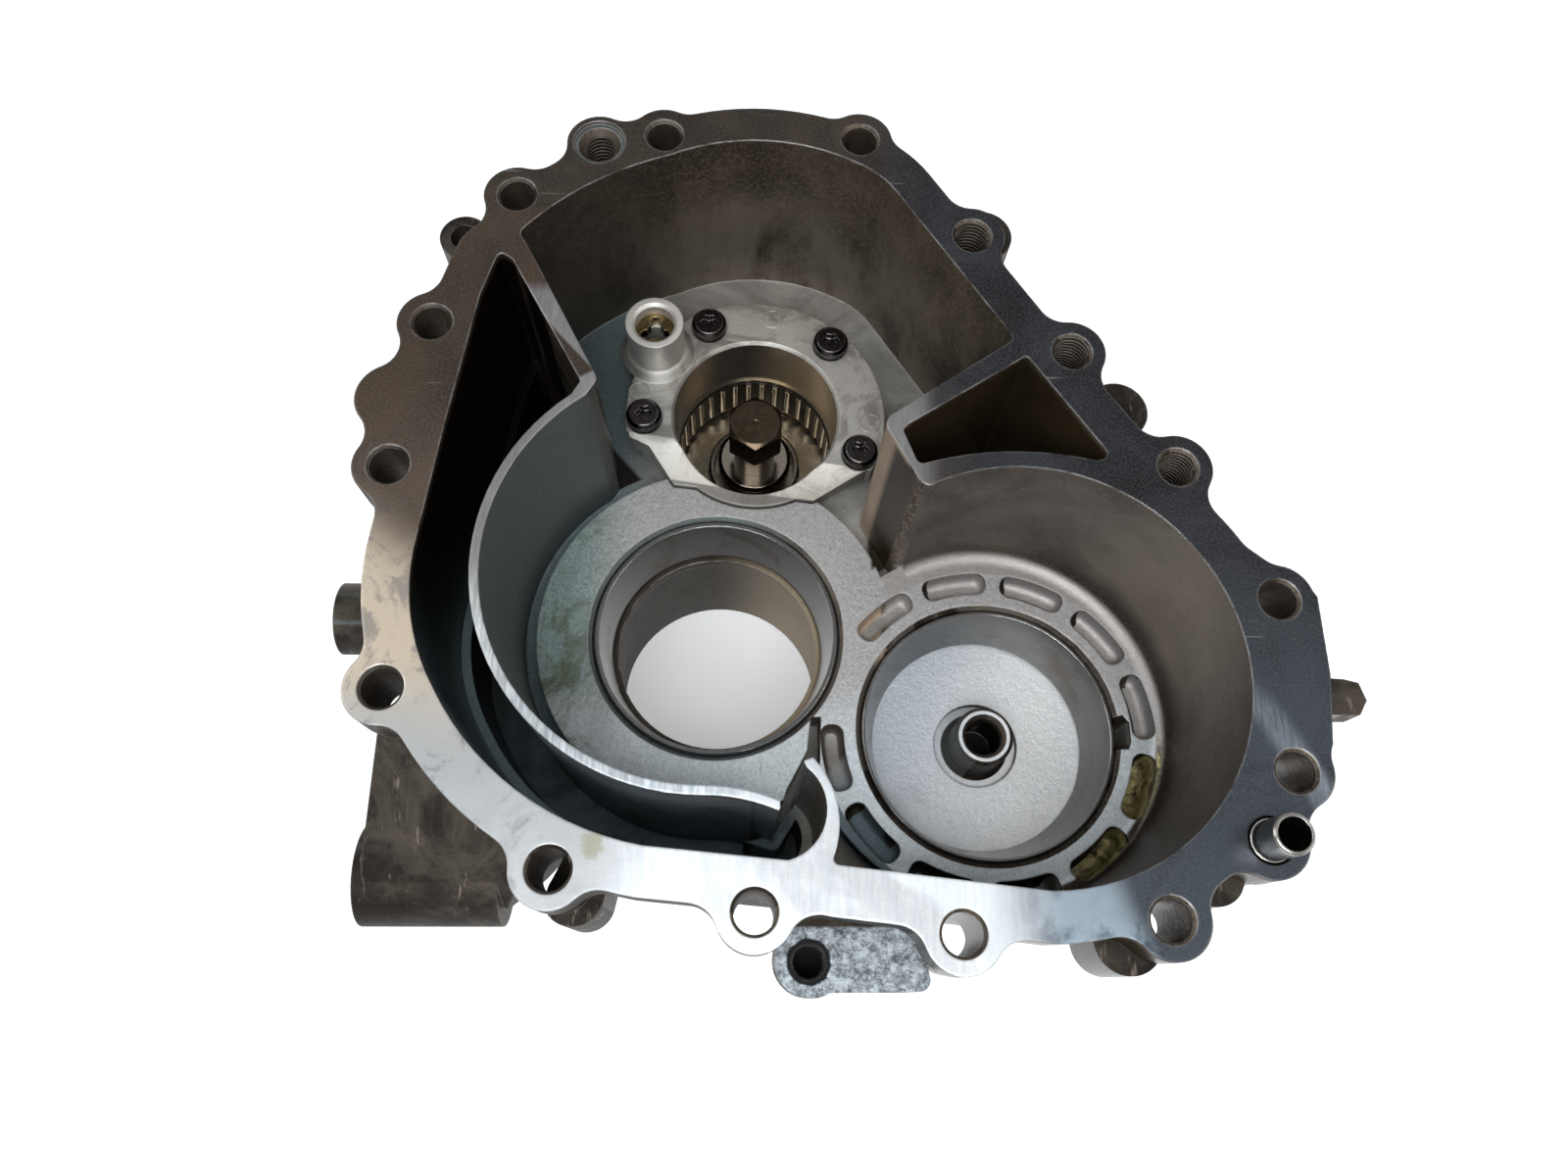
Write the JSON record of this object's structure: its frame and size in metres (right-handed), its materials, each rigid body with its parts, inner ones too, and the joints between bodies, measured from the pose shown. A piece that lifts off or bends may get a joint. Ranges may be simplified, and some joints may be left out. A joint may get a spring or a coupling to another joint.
{
  "type": "transfer case housing",
  "caption": "Aluminium half housing of a vehicle transfer case, with bolted bearing retainer, bearing cups, needle bearing and output shaft end.",
  "frame": {"origin": "on the output bore's axis at the foot of the axle tube", "axes": "+Z out of the mating flange, +X from the output bore towards the lower bearing's side, +Y towards the shaft's side"},
  "size_m": [0.2882, 0.2629, 0.1625],
  "materials": {
    "cast_aluminium": "sand cast, machined flange",
    "retainer_aluminium": "die cast, matt",
    "insert_brass": "satin",
    "needle_steel": "ground",
    "cage_steel": "satin",
    "shaft_steel": "turned",
    "collar_steel": "polished",
    "bolt_steel": "phosphated, oiled",
    "cup_steel": "ground",
    "washer_steel": "ground, oil stained",
    "shim_steel": "rolled",
    "dowel_steel": "rolled",
    "circlip_steel": "phosphated",
    "seal_rubber": "moulded",
    "bearing_steel": "ground",
    "screw_black": "black oxide"
  },
  "bodies": {
    "case": {"housing_casting": "cast_aluminium", "bearing_retainer": "retainer_aluminium", "oil_nozzle_insert": "insert_brass", "needle_shell": "needle_steel", "thrust_washer": "washer_steel", "output_bearing_cup": "cup_steel", "lower_bearing_cup": "cup_steel", "output_bearing_shim": "shim_steel", "lower_bearing_shim": "shim_steel", "locating_dowel": "dowel_steel", "bearing_circlip": "circlip_steel", "rear_shaft_seal": "seal_rubber", "rear_bearing_outer": "bearing_steel", "retainer_screw_1": "screw_black", "retainer_screw_2": "screw_black", "retainer_screw_3": "screw_black", "retainer_screw_4": "screw_black"},
    "shaft": {"output_shaft": "shaft_steel", "bolt_collar": "collar_steel", "hub_bolt": "bolt_steel", "rear_bearing_inner": "bearing_steel"},
    "needle_set": {"needle_cage": "cage_steel", "needle_rollers": "needle_steel"},
    "ball_set": {"rear_bearing_balls": "bearing_steel", "rear_bearing_cage": "cage_steel"}
  },
  "joints": [
    {"name": "shaft_spin", "type": "hinge", "parent": "case", "child": "shaft", "pos_m": [0.012, 0.0764, 0.032], "axis": [0, 0, 1], "continuous": true},
    {"name": "needle_spin", "type": "hinge", "parent": "case", "child": "needle_set", "pos_m": [0.012, 0.0764, 0.057], "axis": [0, 0, 1], "continuous": true},
    {"name": "ball_spin", "type": "hinge", "parent": "case", "child": "ball_set", "pos_m": [0.012, 0.0764, 0.032], "axis": [0, 0, 1], "continuous": true}
  ],
  "couplings": [
    {"joint": "ball_spin", "follows": "shaft_spin", "ratio": 0.4043}
  ]
}
